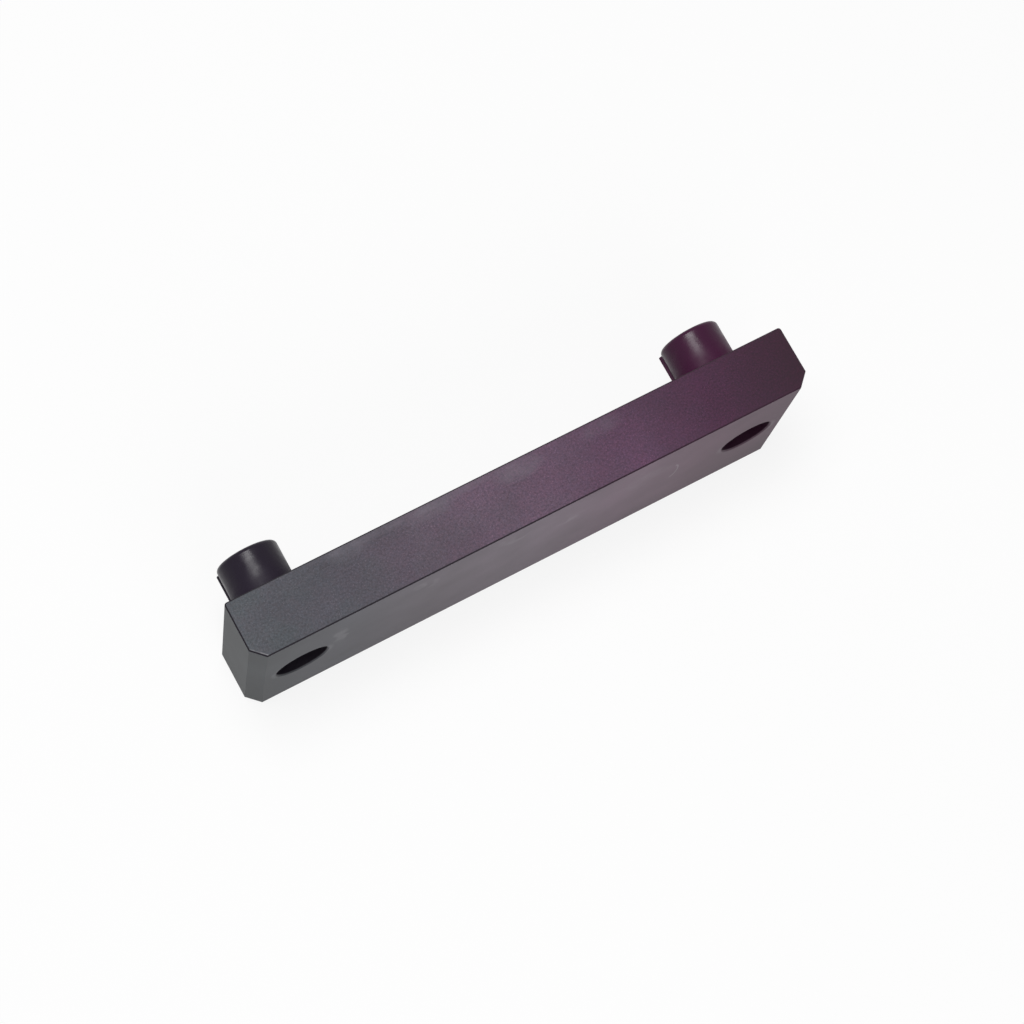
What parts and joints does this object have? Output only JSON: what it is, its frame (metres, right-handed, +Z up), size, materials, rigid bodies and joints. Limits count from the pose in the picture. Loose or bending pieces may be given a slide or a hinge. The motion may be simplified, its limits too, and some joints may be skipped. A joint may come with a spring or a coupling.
{
  "type": "mounting block",
  "caption": "Flat rectangular mounting bar with chamfered front corners, counterbored screw holes near its ends, and a keyed round locating boss behind each hole.",
  "frame": {"origin": "centre of the back face, midway between the two bosses", "axes": "+X along the bar, +Y out of the back face along the bosses, +Z up with the bar standing on its long edge"},
  "size_m": [0.165, 0.0323, 0.054],
  "materials": {
    "anodised_body": "black anodised, with fine bead-blasted long edges, satin faces and smoother bosses"
  },
  "bodies": {
    "root": {"mounting_block": "anodised_body"}
  },
  "joints": []
}
